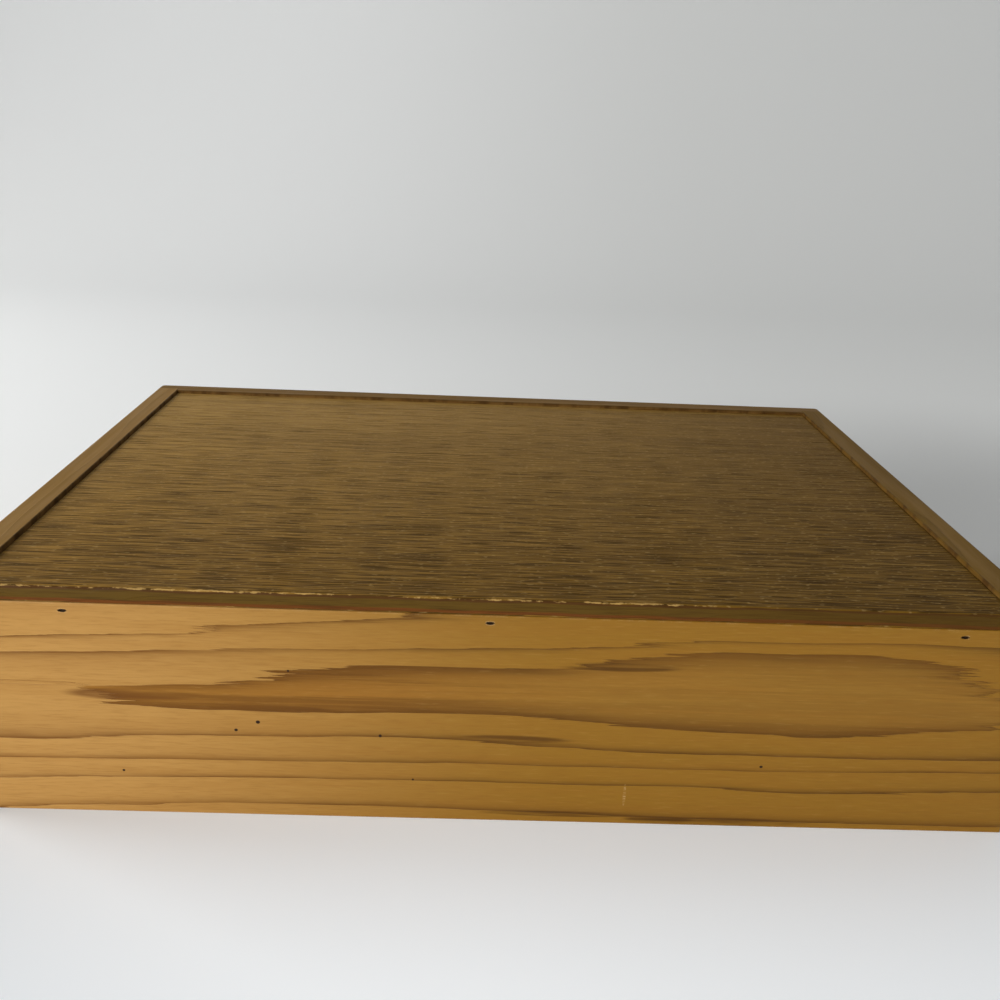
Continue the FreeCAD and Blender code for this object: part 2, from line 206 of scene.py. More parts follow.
def make_growth_rings():
    """Year rings round a bent trunk line that runs along the group's X."""
    group, given, result = new_group(
        "growth rings",
        [("Vector", VECTOR, None), ("Ring Width", VALUE, 0.006), ("Bend", VALUE, 0.012),
         ("Splinter", VALUE, 0.01)],
        [("Rings", VALUE), ("Drift", VALUE)],
    )
    place = given.outputs["Vector"]
    split = put(group, "ShaderNodeSeparateXYZ", {"Vector": place})
    comb = noise_value(group, place, SPLINTERS, 2)
    shift = maths(group, "MULTIPLY", maths(group, "SUBTRACT", comb, 0.5), given.outputs["Splinter"])
    along = maths(group, "ADD", split.outputs["X"], shift)
    bent = put(
        group, "ShaderNodeCombineXYZ", {"X": along, "Y": split.outputs["Y"], "Z": split.outputs["Z"]},
    )
    bends = vector_maths(group, "MULTIPLY", bent.outputs[0], TRUNK_BENDS)
    wander = put(group, "ShaderNodeTexNoise", {"Vector": bends, "Scale": 1.0, "Detail": 1.5})
    moved = vector_maths(group, "SUBTRACT", wander.outputs["Color"], (0.5, 0.5, 0.5))
    moved = vector_maths(group, "MULTIPLY", moved, (0, 1, 1))
    scaled = put(
        group, "ShaderNodeVectorMath", {0: moved, "Scale": given.outputs["Bend"]}, operation="SCALE",
    )
    flat = vector_maths(group, "MULTIPLY", bent.outputs[0], (0, 1, 1))
    centre = vector_maths(group, "ADD", flat, scaled.outputs["Vector"])
    years = maths(group, "DIVIDE", vector_maths(group, "LENGTH", centre), given.outputs["Ring Width"])
    season = maths(group, "FRACT", years)
    dark = maths(group, "POWER", season, 3.0)
    fall = ramp(group, season, 0.95, 1.0, 1.0, 0.0)
    group.links.new(maths(group, "MULTIPLY", dark, fall), result.inputs["Rings"])
    group.links.new(noise_value(group, place, COLOUR_DRIFT, 2), result.inputs["Drift"])
    return group


def make_wood_fibre():
    """Fine streaks along the group's X."""
    group, given, result = new_group(
        "wood fibre", [("Vector", VECTOR, None)], [("Fine", VALUE), ("Coarse", VALUE)],
    )
    place = given.outputs["Vector"]
    group.links.new(noise_value(group, place, FINE_FIBRE, 3, 0.6), result.inputs["Fine"])
    group.links.new(noise_value(group, place, COARSE_FIBRE, 3, 0.55), result.inputs["Coarse"])
    return group


def make_open_pores():
    """Short dark pores and soft streaks of a tropical veneer, along the group's X."""
    group, given, result = new_group(
        "open pores",
        [("Vector", VECTOR, None), ("Density", VALUE, 0.5)],
        [("Pores", VALUE), ("Painted Glints", VALUE), ("Streaks", VALUE), ("Clouds", VALUE)],
    )
    place = given.outputs["Vector"]
    limit = ramp(group, given.outputs["Density"], 0.0, 1.0, 0.64, 0.50, smooth=False)
    short = noise_value(group, place, SHORT_PORES, 0.6, 0.5)
    aside = vector_maths(group, "ADD", place, (3.1, 1.7, 0))
    long = noise_value(group, aside, LONG_PORES, 0.6, 0.5)
    deep = ramp(group, short, limit, maths(group, "ADD", limit, 0.06))
    faint = ramp(group, long, maths(group, "ADD", limit, 0.01), maths(group, "ADD", limit, 0.10))
    pores = maths(group, "MAXIMUM", deep, maths(group, "MULTIPLY", faint, 0.8))
    group.links.new(pores, result.inputs["Pores"])
    # Painted glints: pale specks standing for small highlights on the varnish.
    elsewhere = vector_maths(group, "ADD", place, (1.3, 0.4, 0))
    glint = noise_value(group, elsewhere, PAINTED_GLINT_CELLS, 1.0)
    group.links.new(ramp(group, glint, 0.62, 0.72), result.inputs["Painted Glints"])
    group.links.new(noise_value(group, place, VENEER_STREAKS, 3, 0.6), result.inputs["Streaks"])
    group.links.new(noise_value(group, place, VENEER_CLOUDS, 2, 0.5), result.inputs["Clouds"])
    return group


def make_edge_wear():
    """A broken mask that is 1 on arrises."""
    group, given, result = new_group(
        "edge wear",
        [("Vector", VECTOR, None), ("Reach", VALUE, 0.0012), ("Amount", VALUE, 1.0)],
        [("Mask", VALUE)],
    )
    rounded = put(group, "ShaderNodeBevel", {"Radius": given.outputs["Reach"]}, samples=6)
    true = group.nodes.new("ShaderNodeNewGeometry")
    same = vector_maths(group, "DOT_PRODUCT", rounded.outputs["Normal"], true.outputs["Normal"])
    edge = ramp(group, same, 0.99, 0.86)
    patchy = noise_value(group, given.outputs["Vector"], WORN_PATCHES, 3, 0.6)
    broken = ramp(group, patchy, 0.40, 0.62)
    mask = maths(group, "MULTIPLY", edge, broken)
    group.links.new(maths(group, "MULTIPLY", mask, given.outputs["Amount"]), result.inputs["Mask"])
    return group


def make_small_mark():
    """A soft oval mark on the face across Y, at a place and with a half width and half height."""
    group, given, result = new_group(
        "small mark",
        [("Vector", VECTOR, None), ("Place", VECTOR, None), ("Half Size", VECTOR, (0.001, 1, 0.001))],
        [("Mask", VALUE)],
    )
    apart = vector_maths(group, "SUBTRACT", given.outputs["Vector"], given.outputs["Place"])
    shares = vector_maths(group, "DIVIDE", apart, given.outputs["Half Size"])
    reach = vector_maths(group, "LENGTH", shares)
    group.links.new(ramp(group, reach, 1.15, 0.75), result.inputs["Mask"])
    return group


GROWTH_RINGS = make_growth_rings()
WOOD_FIBRE = make_wood_fibre()
OPEN_PORES = make_open_pores()
EDGE_WEAR = make_edge_wear()
SMALL_MARK = make_small_mark()


# Finishes, and how deep the grain stands on each

SOFTWOOD_RELIEF = 0.00010
LID_RELIEF = 0.00014
BOTTOM_RELIEF = 0.00020
BRAD_RELIEF = 0.00005


def start_finish(name):
    """A material with its shader and its Object coordinates."""
    finish = bpy.data.materials.new(name)
    finish.use_nodes = True
    tree = finish.node_tree
    shader = tree.nodes["Principled BSDF"]
    place = tree.nodes.new("ShaderNodeTexCoord").outputs["Object"]
    return finish, tree, shader, place


def connect(tree, shader, colour, roughness, height, depth):
    """Feeds the shader; depth is the bump's full height in metres."""
    bump = put(tree, "ShaderNodeBump", {"Height": height, "Distance": depth, "Strength": 1.0})
    tree.links.new(bump.outputs["Normal"], shader.inputs["Normal"])
    tree.links.new(colour, shader.inputs["Base Color"])
    tree.links.new(roughness, shader.inputs["Roughness"])


def turned_place(tree, place, shift, turn):
    """Object coordinates moved and turned so that the grain runs along X."""
    made = put(tree, "ShaderNodeMapping", {"Vector": place, "Location": shift, "Rotation": turn})
    return made.outputs["Vector"]


# The front board's year lines, as (x, z) in millimetres on its face, from the bottom edge upwards

YEAR_LINES = {
    "under the base": [(-178, -11), (178, -11)],
    "lowest": [(-178, -0.5), (-128, 2.9), (-91, 4.3), (-15, 4.1), (53, 3.2), (136, 2.1), (178, 2)],
    "second": [(-178, 11.8), (-122, 13.7), (2, 15.4), (64, 15.2), (112, 14.1), (178, 16.7)],
    "third": [(-178, 20.2), (-69, 21.6), (2, 22.5), (78, 22.1), (178, 24)],
    "fourth": [(-178, 28.6), (-136, 28.2), (-128, 29.3), (-79, 30.5), (-47, 31.7), (2, 30.6), (51, 28.6),
               (178, 29.1)],
    "heart low": [(-178, 48), (-133, 48.2), (-124, 43), (-115, 41), (-85, 40), (-47, 40.7), (2, 41.2),
                  (32, 40), (56, 38), (88, 36.6), (109, 36.1), (142, 39.3), (170, 42), (178, 47)],
    "heart": [(-178, 48.1), (-133, 48.3), (-90, 46), (0, 50), (60, 52), (120, 52), (178, 48)],
    "heart high": [(-178, 48.2), (-133, 48.4), (-113, 49.4), (-89, 50.4), (-73, 53.8), (-60, 56.9),
                   (-16, 59), (20, 59.6), (37, 62.7), (63, 65.9), (84, 67.4), (131, 66.7), (152, 63.2),
                   (165, 56), (178, 49)],
    "sixth": [(-178, 59), (-124, 61.3), (-68, 63.7), (-24, 65.7), (23, 67.3), (62, 70.5), (104, 71.8),
              (178, 71.3)],
    "seventh": [(-178, 64.5), (-118, 67.3), (-96, 68.7), (-93, 70), (-72, 72.6), (-42, 75.7), (-23, 78),
                (0, 80.5), (178, 85)],
    "over the top": [(-178, 80), (178, 96)],
}
LINE_LEFT, LINE_SPAN = -178, 356
LINE_LOW, LINE_RISE = -12, 110

# How the lines run through the board's thickness, and how their splintered ends and slow waves are made

THROUGH_SLOPE = 0.6
TEETH_CELLS = (16, 50, 900)
TEETH_REACH = 0.055
SWAY_CELLS = (22, 20, 60)
SWAY_REACH = 0.0022
HEART_EDGE = 0.003

# Brad mouths and specks on the front face: x, z, half width and half height in millimetres

FRONT_MARKS = [
    (-138.3, 74.95, 1.50, 0.58), (-2.6, 74.95, 1.50, 0.58), (151.6, 74.95, 1.50, 0.58),
    (-77.9, 36.3, 0.75, 0.65), (-85.2, 33.1, 0.62, 0.55), (-123.3, 16.4, 0.5, 0.45),
    (-67.5, 55.7, 0.45, 0.4), (-37.6, 32.3, 0.55, 0.6), (-26.5, 15.6, 0.4, 0.4), (91.1, 24.2, 0.6, 0.5),
]

# Brown smudges along the grain and one pale scuff across it, given in the same way

FRONT_SMUDGES = [
    (2, 32.4, 24, 1.5), (-124, 30, 12, 1.1), (24, 3.3, 28, 1.1), (82, 1.6, 30, 1.8), (58, 2.0, 12, 1.4),
    (-118, 45.5, 22, 2.4), (-72, 41.5, 18, 1.3), (40, 60.5, 20, 1.6),
]
FRONT_SCUFF = (45.6, 11.5, 0.5, 4.5)


def front_grain(tree, place, front):
    """How far through its year the front board's wood is, from 0 to 1, and a mask of its heart grain."""
    split = put(tree, "ShaderNodeSeparateXYZ", {"Vector": place})
    comb = noise_value(tree, place, TEETH_CELLS, 4, 0.65)
    teeth = maths(tree, "MULTIPLY", maths(tree, "SUBTRACT", comb, 0.5), TEETH_REACH)
    wave = noise_value(tree, place, SWAY_CELLS, 2, 0.5)
    sway = maths(tree, "MULTIPLY", maths(tree, "SUBTRACT", wave, 0.5), SWAY_REACH)
    along = maths(tree, "ADD", split.outputs["X"], teeth)
    depth = maths(tree, "SUBTRACT", split.outputs["Y"], front)
    up = maths(tree, "ADD", split.outputs["Z"], maths(tree, "MULTIPLY", depth, -THROUGH_SLOPE))
    up = maths(tree, "ADD", up, sway)
    share = ramp(tree, along, LINE_LEFT * MM, (LINE_LEFT + LINE_SPAN) * MM, smooth=False)
    level = ramp(tree, up, LINE_LOW * MM, (LINE_LOW + LINE_RISE) * MM, smooth=False)
    lines = {}
    for name, points in YEAR_LINES.items():
        shares = [((x - LINE_LEFT) / LINE_SPAN, (z - LINE_LOW) / LINE_RISE) for x, z in points]
        lines[name] = curve_value(tree, share, shares)

    # The years count outwards from the heart, so each one's late wood lies on its outer line
    names = list(YEAR_LINES)
    middle = names.index("heart")
    downwards = [(names[index], names[index - 1]) for index in range(middle, 0, -1)]
    upwards = [(names[index], names[index + 1]) for index in range(middle, len(names) - 1)]
    years = 0.0
    for inner, outer in downwards + upwards:
        years = maths(tree, "ADD", years, ramp(tree, level, lines[inner], lines[outer], smooth=False))
    season = maths(tree, "FRACT", years)
    above = ramp(tree, maths(tree, "SUBTRACT", level, lines["heart low"]), 0.0, HEART_EDGE)
    below = ramp(tree, maths(tree, "SUBTRACT", lines["heart high"], level), 0.0, HEART_EDGE)
    return season, maths(tree, "MULTIPLY", above, below)


def mark_mask(tree, place, front, mark):
    """A mask over one mark on the front face."""
    x, z, half_wide, half_high = mark
    made = use_group(tree, SMALL_MARK, {
        "Vector": place,
        "Place": (x * MM, front, z * MM),
        "Half Size": (half_wide * MM, 1.0, half_high * MM),
    })
    return made.outputs["Mask"]


def front_softwood():
    """The front board, with the photograph's year lines, brad mouths and specks."""
    finish, tree, shader, place = start_finish("honey softwood, front board")
    low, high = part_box("front_board")
    front = low[1]
    split = put(tree, "ShaderNodeSeparateXYZ", {"Vector": place})
    season, heart = front_grain(tree, place, front)
    line = maths(tree, "POWER", season, 6.8)
    shade = maths(tree, "MULTIPLY", maths(tree, "POWER", season, 3.0), 0.28)
    year_end = ramp(tree, season, 0.988, 1.0, 1.0, 0.0)
    late = maths(tree, "MULTIPLY", maths(tree, "MAXIMUM", line, shade), year_end)

    fibre = use_group(tree, WOOD_FIBRE, {"Vector": place})
    fine, coarse = fibre.outputs["Fine"], fibre.outputs["Coarse"]
    # Darker towards the right: partly the board's own colour drift, partly painted shade where the window
    # light falls off.
    right = ramp(tree, split.outputs["X"], -0.15, 0.03)
    early = blend_colour(tree, right, tone(185, 139, 74), tone(147, 105, 31))
    dark = blend_colour(tree, right, tone(106, 62, 12), tone(80, 48, 4))
    faded = ramp(tree, noise_value(tree, place, (14, 30, 120), 3, 0.6), 0.32, 0.58, 0.70, 1.0)
    colour = stain(tree, early, late, faded, dark)

    mellow = ramp(tree, split.outputs["X"], -0.06, 0.05)
    heart_middle = blend_colour(tree, mellow, tone(152, 104, 36), tone(150, 108, 38))
    heart_rim = blend_colour(tree, right, tone(104, 62, 8), tone(88, 54, 4))
    towards_rim = maths(tree, "POWER", season, ramp(tree, mellow, 0.0, 1.0, 1.7, 3.2))
    heart_colour = blend_colour(tree, towards_rim, heart_middle, heart_rim)
    heart_streaks = ramp(tree, noise_value(tree, place, (9, 60, 420), 4, 0.65), 0.42, 0.62)
    streak_depth = ramp(tree, mellow, 0.0, 1.0, 0.62, 0.18)
    heart_colour = stain(tree, heart_colour, heart_streaks, streak_depth, heart_rim)
    colour = blend_colour(tree, heart, colour, heart_colour)

    grainy = ramp(tree, fine, 0.46, 0.68)
    colour = stain(tree, colour, ramp(tree, coarse, 0.36, 0.70), 0.22, tone(150, 100, 34))
    colour = stain(tree, colour, grainy, 0.20, tone(126, 80, 26))
    colour = stain(tree, colour, ramp(tree, fine, 0.44, 0.30), 0.09, tone(206, 162, 92))

    for smudge in FRONT_SMUDGES:
        mask = mark_mask(tree, place, front, smudge)
        streaky = maths(tree, "MULTIPLY", mask, ramp(tree, coarse, 0.35, 0.62))
        colour = stain(tree, colour, streaky, 0.8, dark)
    wear = use_group(tree, EDGE_WEAR, {"Vector": place, "Reach": 0.0010, "Amount": 0.5})
    colour = blend_colour(tree, wear.outputs["Mask"], colour, tone(224, 186, 132))
    depth = maths(tree, "SUBTRACT", split.outputs["Y"], front)
    on_face = ramp(tree, depth, 0.0012, 0.0004)
    marks = 0.0
    for mark in FRONT_MARKS:
        marks = maths(tree, "MAXIMUM", marks, mark_mask(tree, place, front, mark))
    colour = stain(tree, colour, marks, on_face, tone(44, 24, 10))
    scuffed = maths(tree, "MULTIPLY", mark_mask(tree, place, front, FRONT_SCUFF), grainy)
    colour = stain(tree, colour, scuffed, 0.8, tone(226, 190, 138))
    sideways = maths(tree, "ABSOLUTE", split.outputs["X"])
    end = ramp(tree, sideways, high[0] - 0.0006, high[0] - 0.0002)
    end_lines = ramp(tree, noise_value(tree, place, (40, 260, 700), 3, 0.6), 0.3, 0.7, 0.35, 0.8)
    colour = stain(tree, colour, end, end_lines, tone(92, 56, 18))

    relief = maths(tree, "ADD", maths(tree, "MULTIPLY", late, 0.6), maths(tree, "MULTIPLY", fine, 0.5))
    rough = ramp(tree, coarse, 0.3, 0.7, 0.36, 0.50)
    shader.inputs["Specular IOR Level"].default_value = 0.18
    connect(tree, shader, colour, rough, relief, SOFTWOOD_RELIEF)
    return finish


def side_softwood(name, shift, turn, early, dark, top_shade_tone, shine, inner, smeared=False):
    """A side or back board, cut from the trunk at shift and turned so that its grain runs along X.

    Its top is darker with painted shade. inner is the axis, the place and the outward side of its inner
    face.
    """
    finish, tree, shader, place = start_finish(name)
    grain = turned_place(tree, place, shift, turn)
    rings = use_group(
        tree, GROWTH_RINGS, {"Vector": grain, "Ring Width": 0.0062, "Bend": 0.030, "Splinter": 0.03},
    )
    fibre = use_group(tree, WOOD_FIBRE, {"Vector": grain})
    fine, coarse = fibre.outputs["Fine"], fibre.outputs["Coarse"]
    late = rings.outputs["Rings"]
    colour = stain(tree, early, late, 0.8, dark)
    colour = stain(tree, colour, ramp(tree, rings.outputs["Drift"], 0.35, 0.7), 0.3, dark)
    colour = stain(tree, colour, ramp(tree, coarse, 0.32, 0.72), 0.3, tone(128, 88, 36))
    colour = stain(tree, colour, ramp(tree, fine, 0.42, 0.70), 0.22, tone(104, 68, 26))
    wear = use_group(tree, EDGE_WEAR, {"Vector": place, "Reach": 0.0012, "Amount": 0.5})
    colour = blend_colour(tree, wear.outputs["Mask"], colour, tone(204, 164, 104))
    height = put(tree, "ShaderNodeSeparateXYZ", {"Vector": place}).outputs["Z"]
    # Painted shade: the top face is stained darker, as the light falls less on it.
    shaded_top = ramp(tree, height, BOX_TOP - 0.0014, BOX_TOP - 0.0002)
    colour = stain(tree, colour, shaded_top, 0.72, top_shade_tone)
    colour = beside_the_lid(tree, place, colour, inner, smeared)
    relief = maths(tree, "ADD", maths(tree, "MULTIPLY", late, 0.6), maths(tree, "MULTIPLY", fine, 0.5))
    rough = ramp(tree, coarse, 0.3, 0.7, 0.50, 0.64)
    shader.inputs["Specular IOR Level"].default_value = shine
    connect(tree, shader, colour, rough, relief, SOFTWOOD_RELIEF)
    return finish


def beside_the_lid(tree, place, colour, inner, smeared):
    """Painted shade, with some dirt, in the corner beside the lid, and yellowed varnish that crept onto
    one board's top.
    """
    split = put(tree, "ShaderNodeSeparateXYZ", {"Vector": place})
    ragged = noise_value(tree, place, (120, 120, 10), 3, 0.6)
    axis, inner_face, outward = inner
    away = maths(tree, "MULTIPLY", maths(tree, "SUBTRACT", split.outputs[axis], inner_face), outward)
    rim = ramp(tree, split.outputs["Z"], BOX_TOP - 0.0030, BOX_TOP - 0.0020)
    if smeared:
        reach = ramp(tree, ragged, 0.42, 0.75, 0.0, 0.0034)
        near = ramp(tree, maths(tree, "SUBTRACT", reach, away), 0.0, 0.0004)
        colour = stain(tree, colour, maths(tree, "MULTIPLY", near, rim), 0.45, tone(122, 92, 24))
    # Painted shade of the gap beside the lid, with some dirt: the inner edge darkens near the top.
    corner = maths(tree, "MULTIPLY", ramp(tree, away, 0.0007, 0.0002), rim)
    return stain(tree, colour, corner, ramp(tree, ragged, 0.35, 0.6, 0.9, 0.5), tone(64, 40, 12))


def lid_face(tree, y, right, veneer):
    """The varnished veneer, lighter at the back left with a painted sheen, with its pores and painted
    glints.
    """
    streaks = veneer.outputs["Streaks"]
    back = ramp(tree, y, -0.12, 0.12, smooth=False)
    face = blend_colour(tree, right, tone(148, 110, 44), tone(112, 80, 14))
    # Painted sheen: the back left is lighter, standing for the varnish's grazing reflection.
    back_left_sheen = maths(tree, "MULTIPLY", back, maths(tree, "SUBTRACT", 1.0, right))
    face = stain(tree, face, back_left_sheen, 0.8, tone(178, 140, 72))
    face = stain(tree, face, ramp(tree, veneer.outputs["Clouds"], 0.40, 0.66), 0.14, tone(100, 72, 16))
    face = stain(tree, face, ramp(tree, streaks, 0.45, 0.70), 0.26, tone(84, 56, 8))
    face = stain(tree, face, ramp(tree, streaks, 0.46, 0.28), 0.35, tone(168, 132, 64))
    pore_depth = ramp(tree, back, 0.1, 0.9, 0.74, 0.50)
    face = stain(tree, face, veneer.outputs["Pores"], pore_depth, tone(48, 30, 4))
    # Painted glints: pale specks over the veneer.
    return stain(tree, face, veneer.outputs["Painted Glints"], 0.36, tone(190, 158, 98))


def lid_edge(tree, place, down, thick, right):
    """The edge's three plies, and a mask that is 1 on the two faces."""
    wobble = noise_value(tree, place, (40, 40, 200), 2)
    below = maths(tree, "ADD", down, ramp(tree, wobble, 0.3, 0.7, -0.00025, 0.00025))
    fibres = ramp(tree, noise_value(tree, place, (45, 1500, 1500), 3, 0.6), 0.42, 0.68)
    upper_ply, middle_ply, lower_ply = tone(82, 52, 18), tone(92, 68, 20), tone(106, 60, 20)
    edge = blend_colour(tree, ramp(tree, below, 0.0010, 0.0014), upper_ply, middle_ply)
    edge = blend_colour(tree, ramp(tree, below, 0.0040, 0.0044), edge, lower_ply)
    edge = stain(tree, edge, fibres, 0.5, tone(60, 38, 8))
    edge = stain(tree, edge, ramp(tree, right, 0.55, 0.95), 0.45, tone(72, 48, 10))
    top_face = ramp(tree, below, 0.0006, 0.0002)
    under_face = ramp(tree, below, thick - 0.0003, thick)
    return edge, maths(tree, "MAXIMUM", top_face, under_face)


def raw_arris(tree, place, x, from_front, down):
    """A mask along the front arris, where the varnish has broken off, thinning out to the right."""
    across = put(tree, "ShaderNodeCombineXYZ", {"X": from_front, "Y": down})
    reach = vector_maths(tree, "LENGTH", across.outputs[0])
    ragged = noise_value(tree, place, (330, 900, 900), 3, 0.65)
    lengthwise = noise_value(tree, place, (28, 4, 4), 3, 0.6)
    width = ramp(tree, lengthwise, 0.32, 0.50, 0.00015, 0.00050)
    width = maths(tree, "ADD", width, ramp(tree, ragged, 0.35, 0.70, -0.0002, 0.0003))
    width = maths(tree, "MULTIPLY", width, ramp(tree, x, 0.09, 0.055, 0.25, 1.0))
    return ramp(tree, maths(tree, "SUBTRACT", width, reach), 0.0, 0.00025)


def plywood_lid():
    """Open-pored veneer on top, plies on the edges, raw wood along the broken front arris."""
    finish, tree, shader, place = start_finish("varnished plywood, lid")
    low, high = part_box("sliding_lid")
    split = put(tree, "ShaderNodeSeparateXYZ", {"Vector": place})
    x, y, z = (split.outputs[axis] for axis in "XYZ")
    right = ramp(tree, x, -0.17, 0.17, smooth=False)
    frontward = ramp(tree, y, high[1], low[1], 0.25, 0.85, smooth=False)
    veneer = use_group(tree, OPEN_PORES, {"Vector": place, "Density": frontward})
    down = maths(tree, "SUBTRACT", high[2], z)
    edge, on_faces = lid_edge(tree, place, down, high[2] - low[2], right)
    colour = blend_colour(tree, on_faces, edge, lid_face(tree, y, right, veneer))
    raw = raw_arris(tree, place, x, maths(tree, "SUBTRACT", y, low[1]), down)
    colour = stain(tree, colour, raw, 0.85, tone(190, 152, 86))

    pores = veneer.outputs["Pores"]
    relief = maths(tree, "SUBTRACT", maths(tree, "MULTIPLY", veneer.outputs["Streaks"], 0.2), pores)
    rough = ramp(tree, pores, 0.0, 1.0, 0.55, 0.70)
    shader.inputs["Specular IOR Level"].default_value = 0.10
    connect(tree, shader, colour, rough, relief, LID_RELIEF)
    return finish


def bare_plywood():
    """The bottom: the same veneer without varnish."""
    finish, tree, shader, place = start_finish("bare plywood, bottom")
    veneer = use_group(tree, OPEN_PORES, {"Vector": place, "Density": 0.45})
    pores = veneer.outputs["Pores"]
    clouds = ramp(tree, veneer.outputs["Clouds"], 0.35, 0.7)
    colour = stain(tree, tone(190, 152, 100), clouds, 0.4, tone(164, 120, 70))
    colour = stain(tree, colour, ramp(tree, veneer.outputs["Streaks"], 0.45, 0.70), 0.4, tone(140, 96, 58))
    colour = stain(tree, colour, pores, 0.6, tone(98, 64, 36))
    rough = ramp(tree, pores, 0.0, 1.0, 0.66, 0.8)
    connect(tree, shader, colour, rough, maths(tree, "MULTIPLY", pores, -1.0), BOTTOM_RELIEF)
    return finish


def bare_softwood():
    """The strip behind the front board: planed and left bare."""
    finish, tree, shader, place = start_finish("bare softwood, rest strip")
    grain = turned_place(tree, place, (0.02, 0.16, -0.03), (0, 0, 0))
    rings = use_group(
        tree, GROWTH_RINGS, {"Vector": grain, "Ring Width": 0.0035, "Bend": 0.010, "Splinter": 0.01},
    )
    fibre = use_group(tree, WOOD_FIBRE, {"Vector": grain})
    fine = fibre.outputs["Fine"]
    colour = stain(tree, tone(214, 178, 128), rings.outputs["Rings"], 0.7, tone(172, 122, 74))
    colour = stain(tree, colour, ramp(tree, fine, 0.42, 0.7), 0.3, tone(160, 116, 72))
    rough = ramp(tree, fibre.outputs["Coarse"], 0.3, 0.7, 0.6, 0.72)
    connect(tree, shader, colour, rough, fine, SOFTWOOD_RELIEF)
    return finish


def brad_steel():
    """Dull steel with rust in patches."""
    finish, tree, shader, place = start_finish("dull steel, brads")
    patch = noise_value(tree, place, (900, 900, 900), 3, 0.6)
    colour = blend_colour(tree, ramp(tree, patch, 0.45, 0.62), tone(46, 38, 32), tone(40, 24, 14))
    tree.links.new(ramp(tree, patch, 0.45, 0.62, 0.35, 0.0), shader.inputs["Metallic"])
    shader.inputs["Specular IOR Level"].default_value = 0.15
    connect(tree, shader, colour, ramp(tree, patch, 0.3, 0.7, 0.55, 0.85), patch, BRAD_RELIEF)
    return finish


# The lid, with its rebated tongues and its broken front arris

TONGUE_THICK = 2.8 * MM
TONGUE_WIDE = 5.1 * MM
ARRIS_BEVEL = 0.35 * MM
ARRIS_STEPS = 330
ARRIS_SLICES = (0.8 * MM, 1.6 * MM)
SMOOTH_BELOW = math.radians(35)

# Chips in the arris: how deep, how far in from it, and where along the lid they thin out

CHIP_DEEPEST = 0.75 * MM
CHIP_REACH = 1.1 * MM
CHIPS_FADE_FROM, CHIPS_FADE_OVER, CHIPS_LEFT = 0.06, 0.04, 0.2


def apply_place(piece):
    """Puts the object's place and size into its mesh."""
    bpy.ops.object.select_all(action="DESELECT")
    piece.select_set(True)
    bpy.context.view_layer.objects.active = piece
    bpy.ops.object.transform_apply(location=True, rotation=True, scale=True)


def select_where(piece, kind, test):
    """Selects the faces or edges that pass the test, in edit mode."""
    bpy.ops.mesh.select_all(action="DESELECT")
    bpy.ops.mesh.select_mode(type=kind)
    shape = bmesh.from_edit_mesh(piece.data)
    items = shape.faces if kind == "FACE" else shape.edges
    for item in items:
        if test(item):
            item.select_set(True)
    bmesh.update_edit_mesh(piece.data)


def slice_at(place, normal):
    """Cuts new edges where the plane meets the whole mesh."""
    bpy.ops.mesh.select_all(action="SELECT")
    bpy.ops.mesh.bisect(plane_co=place, plane_no=normal)


def middle_of(edge):
    """The point halfway along an edge."""
    return (edge.verts[0].co + edge.verts[1].co) / 2


def model_lid():
    """The lid's looks: the CAD lid's shape with a bevelled and chipped front arris."""
    low, high = (Vector(corner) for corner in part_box("sliding_lid"))
    tongue_top = low.z + TONGUE_THICK
    centre = Vector(((low.x + high.x) / 2, (low.y + high.y) / 2, (low.z + tongue_top) / 2))
    bpy.ops.object.select_all(action="DESELECT")
    bpy.ops.mesh.primitive_cube_add(size=1, location=centre)
    lid = bpy.context.active_object
    lid.name = "plywood_lid"
    lid.scale = (high.x - low.x, high.y - low.y, TONGUE_THICK)
    apply_place(lid)
    left, right, back = low.x + TONGUE_WIDE, high.x - TONGUE_WIDE, high.y - TONGUE_WIDE
    bpy.ops.object.mode_set(mode="EDIT")
    slice_at((left, 0, 0), (1, 0, 0))
    slice_at((right, 0, 0), (1, 0, 0))
    slice_at((0, back, 0), (0, 1, 0))

    def in_field(face):
        middle = face.calc_center_median()
        return face.normal.z > 0.9 and left < middle.x < right and middle.y < back

    select_where(lid, "FACE", in_field)
    bpy.ops.mesh.extrude_region_move(TRANSFORM_OT_translate={"value": (0, 0, high.z - tongue_top)})
    for reach in ARRIS_SLICES:
        slice_at((0, low.y + reach, 0), (0, 1, 0))
        slice_at((0, 0, high.z - reach), (0, 0, 1))

    def runs_along_front(edge):
        return abs(edge.verts[0].co.x - edge.verts[1].co.x) > (right - left) * 0.9

    select_where(lid, "EDGE", runs_along_front)
    bpy.ops.mesh.subdivide(number_cuts=ARRIS_STEPS)

    def on_arris(edge):
        middle = middle_of(edge)
        return (abs(middle.y - low.y) < TOUCHING and abs(middle.z - high.z) < TOUCHING
                and left - TOUCHING < middle.x < right + TOUCHING)

    select_where(lid, "EDGE", on_arris)
    bpy.ops.mesh.bevel(offset=ARRIS_BEVEL, segments=2)
    bpy.ops.object.mode_set(mode="OBJECT")
    break_arris(lid, low, high)
    bpy.ops.object.select_all(action="DESELECT")
    lid.select_set(True)
    bpy.context.view_layer.objects.active = lid
    bpy.ops.object.shade_smooth_by_angle(angle=SMOOTH_BELOW)
    return lid


